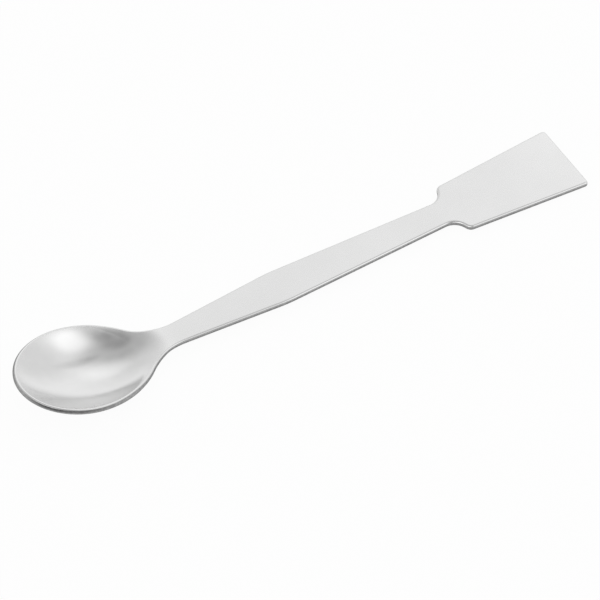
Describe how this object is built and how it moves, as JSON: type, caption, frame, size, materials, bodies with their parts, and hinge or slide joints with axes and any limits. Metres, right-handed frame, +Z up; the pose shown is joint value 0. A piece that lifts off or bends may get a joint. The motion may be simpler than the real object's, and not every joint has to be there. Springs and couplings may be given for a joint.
{
  "type": "lab spatula",
  "caption": "One-piece stainless spatula with a dished oval spoon bowl, a flat swelling handle and a flat flared square-ended blade.",
  "frame": {"origin": "on the surface that the part lies on, under the middle of its length", "axes": "+X along the length, from the spoon bowl to the blade; +Z up, out of the bowl's open face"},
  "size_m": [0.1504, 0.0268, 0.0097],
  "materials": {
    "spatula": "satin stainless steel, with a smoother polish inside the bowl"
  },
  "bodies": {
    "root": {"spatula": "spatula"}
  },
  "joints": []
}
